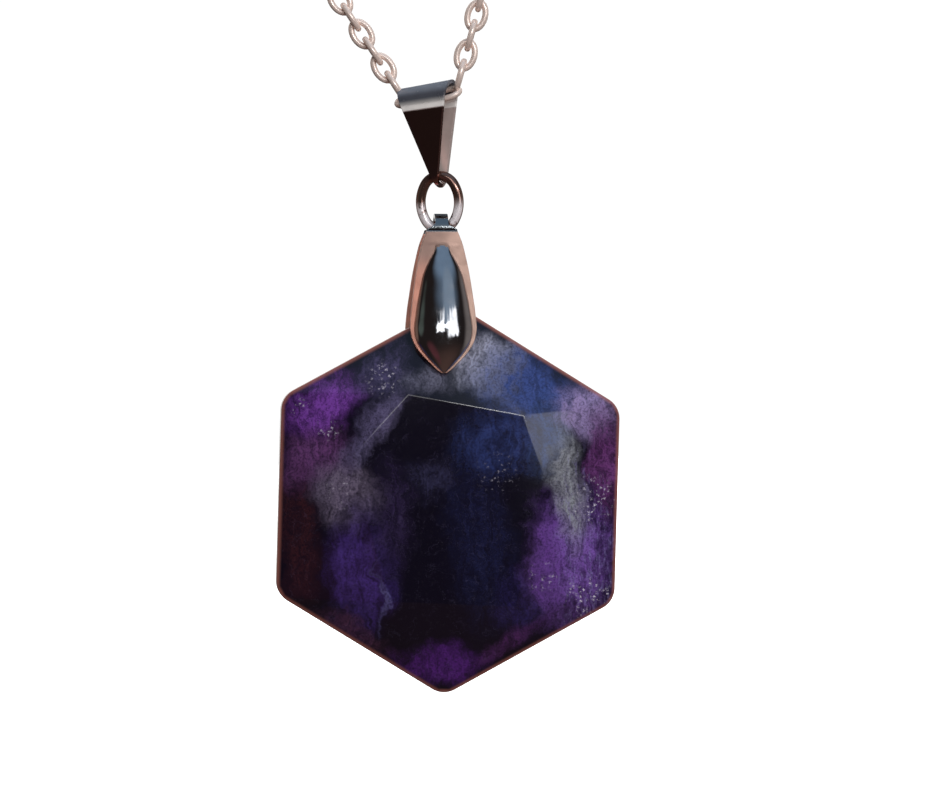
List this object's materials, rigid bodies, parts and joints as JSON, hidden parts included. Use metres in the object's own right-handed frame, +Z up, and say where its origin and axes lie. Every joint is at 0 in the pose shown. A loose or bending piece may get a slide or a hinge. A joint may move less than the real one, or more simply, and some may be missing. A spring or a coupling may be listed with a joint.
{
  "type": "crystal pendant on a chain",
  "caption": "Flat hexagonal faceted purple crystal in a folded metal cap, on an oval ring and tapered bail, with a whole loop of cable chain and a barrel clasp.",
  "frame": {"origin": "middle of the clasp, at the nape, where the chain is held up", "axes": "+Z up, +X to the picture's right along the loop's width, +Y away from the viewer through the stone's thickness"},
  "size_m": [0.109, 0.0088, 0.2358],
  "materials": {
    "chain_metal": "polished white metal",
    "fitting_metal": "polished white metal with dark reflections",
    "crystal": "polished dark violet crystal with faint clouds"
  },
  "bodies": {
    "loop": {"chain_left": "chain_metal", "chain_right": "chain_metal", "clasp": "chain_metal"},
    "bail": {"bail": "fitting_metal"},
    "ring": {"jump_ring": "fitting_metal"},
    "drop": {"cap": "fitting_metal", "stone": "crystal"}
  },
  "joints": [
    {"name": "bail_swing", "type": "hinge", "parent": "loop", "child": "bail", "pos_m": [0.01601, 0, -0.17927], "axis": [0.9079, -0.4067, 0.1018], "range_deg": [-60, 60]},
    {"name": "ring_swing", "type": "hinge", "parent": "bail", "child": "ring", "pos_m": [0.01682, 0, -0.18651], "axis": [0.9925, -0.1219, 0], "range_deg": [-60, 60]},
    {"name": "drop_swing", "type": "hinge", "parent": "ring", "child": "drop", "pos_m": [0.01682, 0, -0.19139], "axis": [0.9925, -0.1219, 0], "range_deg": [-40, 40]}
  ]
}
